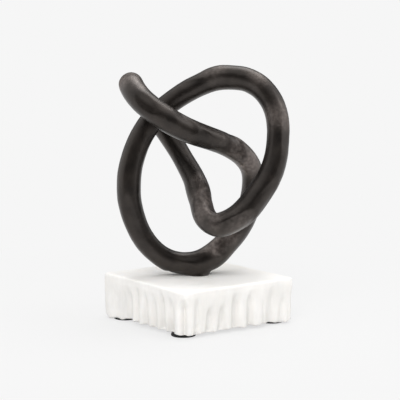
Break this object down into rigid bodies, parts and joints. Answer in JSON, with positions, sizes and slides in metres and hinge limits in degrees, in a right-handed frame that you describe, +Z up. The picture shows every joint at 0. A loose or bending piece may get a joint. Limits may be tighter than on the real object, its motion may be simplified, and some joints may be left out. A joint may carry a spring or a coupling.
{
  "type": "knot sculpture",
  "caption": "Cast metal rod tied in a closed three-lobed knot, standing on a square white marble plinth with gouged sides and round stick-on pads.",
  "frame": {"origin": "centre of the plinth's square footprint, on the surface the pads stand on", "axes": "+Z up; the plinth's sides run along X and Y; -Y is the side the picture shows to the right, -X the side it shows to the left"},
  "size_m": [0.1337, 0.1391, 0.2403],
  "materials": {
    "dark_cast_metal": "cast, blackened and waxed to a satin shine",
    "white_marble": "honed top, gouged sides",
    "plated_steel": "zinc plated",
    "black_rubber": "matt, moulded"
  },
  "bodies": {
    "root": {"knot": "dark_cast_metal", "marble_base": "white_marble", "threaded_stud": "plated_steel", "flat_washer": "plated_steel", "spring_washer": "plated_steel", "hex_nut": "plated_steel", "pad_front_left": "black_rubber", "pad_front_right": "black_rubber", "pad_back_left": "black_rubber", "pad_back_right": "black_rubber"}
  },
  "joints": []
}
